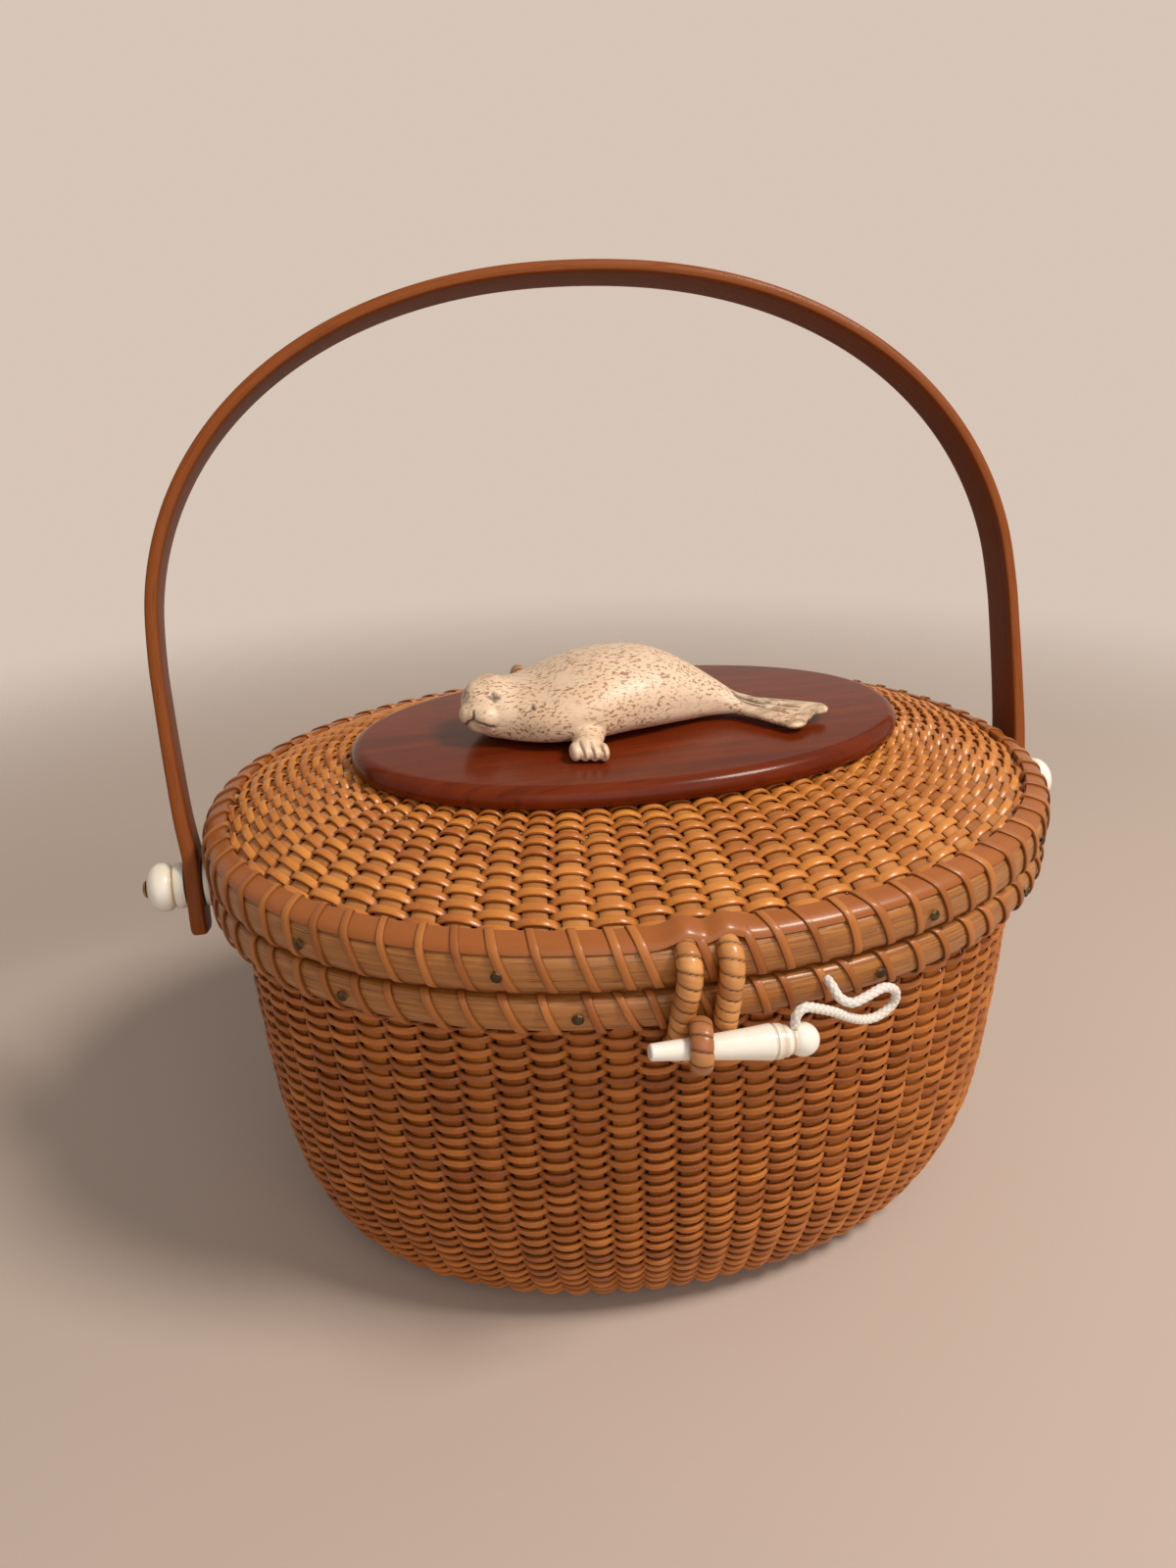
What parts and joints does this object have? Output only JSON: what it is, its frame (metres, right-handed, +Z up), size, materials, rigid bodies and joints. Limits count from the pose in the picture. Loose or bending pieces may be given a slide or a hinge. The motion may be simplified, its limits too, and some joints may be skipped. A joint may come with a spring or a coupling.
{
  "type": "lidded oval woven basket purse",
  "caption": "Oval woven cane basket purse with a hinged domed lid, bent-wood swing handle, carved seal on a wooden plaque, and a cane-wrapped hasp with a peg on a cord.",
  "frame": {"origin": "centre of the base board's rest face", "axes": "+Z up, X along the basket's length, the hasp side faces -Y, the seal's nose points to -X"},
  "size_m": [0.2658, 0.213, 0.2545],
  "materials": {
    "board_wood": "satin varnish",
    "body_cane": "varnished cane, aged reddish brown",
    "lid_cane": "varnished cane, golden orange",
    "hoop_wood": "oiled oak",
    "cane_strip": "smooth varnished cane",
    "pale_reed": "bare pale reed",
    "plaque_wood": "gloss red-brown lacquer",
    "handle_wood": "satin varnish",
    "turned_bone": "polished bone-like resin",
    "carved_bone": "carved bone-like resin, brown specks",
    "aged_brass": "dark aged brass",
    "dark_nail": "dark iron",
    "cane_wrap": "wrapped varnished cane",
    "white_cord": "soft braided cotton"
  },
  "bodies": {
    "basket": {"base_board": "board_wood", "body_weave": "body_cane", "body_rim_liner": "pale_reed", "body_outer_hoop": "hoop_wood", "body_inner_hoop": "hoop_wood", "body_rim_cap": "cane_strip", "left_washer": "turned_bone", "right_washer": "turned_bone", "left_knob": "turned_bone", "right_knob": "turned_bone", "left_burr": "aged_brass", "right_burr": "aged_brass", "left_pin": "aged_brass", "right_pin": "aged_brass", "staple_loop": "cane_wrap", "tether_cord": "white_cord", "left_hinge_ring": "cane_wrap", "right_hinge_ring": "cane_wrap", "body_nail_front_1": "dark_nail", "body_nail_front_2": "dark_nail", "body_nail_front_3": "dark_nail", "body_nail_front_4": "dark_nail", "body_nail_back_1": "dark_nail", "body_nail_back_2": "dark_nail", "body_nail_back_3": "dark_nail", "body_nail_back_4": "dark_nail"},
    "lid": {"lid_weave": "lid_cane", "lid_outer_hoop": "hoop_wood", "lid_inner_hoop": "hoop_wood", "lid_cap_strip": "cane_strip", "lid_board": "board_wood", "plaque": "plaque_wood", "left_plaque_screw": "aged_brass", "right_plaque_screw": "aged_brass", "seal_figure": "carved_bone", "hasp_loop": "cane_wrap", "lid_nail_front_1": "dark_nail", "lid_nail_front_2": "dark_nail", "lid_nail_front_3": "dark_nail", "lid_nail_front_4": "dark_nail", "lid_nail_back_1": "dark_nail", "lid_nail_back_2": "dark_nail", "lid_nail_back_3": "dark_nail", "lid_nail_back_4": "dark_nail"},
    "handle": {"handle": "handle_wood"},
    "peg": {"peg": "turned_bone"}
  },
  "joints": [
    {"name": "handle_swing", "type": "hinge", "parent": "basket", "child": "handle", "pos_m": [0, 0, 0.1058], "axis": [-1, 0, 0], "range_deg": [-110.3, 69.7]},
    {"name": "lid_lift", "type": "hinge", "parent": "basket", "child": "lid", "pos_m": [0, 0.0895, 0.11215], "axis": [-1, 0, 0], "range_deg": [0, 47], "deforming": ["hasp_loop"]},
    {"name": "peg_slide", "type": "slide", "parent": "basket", "child": "peg", "axis": [0.9962, 0, -0.0872], "range_m": [0, 0.045], "deforming": ["tether_cord"]}
  ]
}
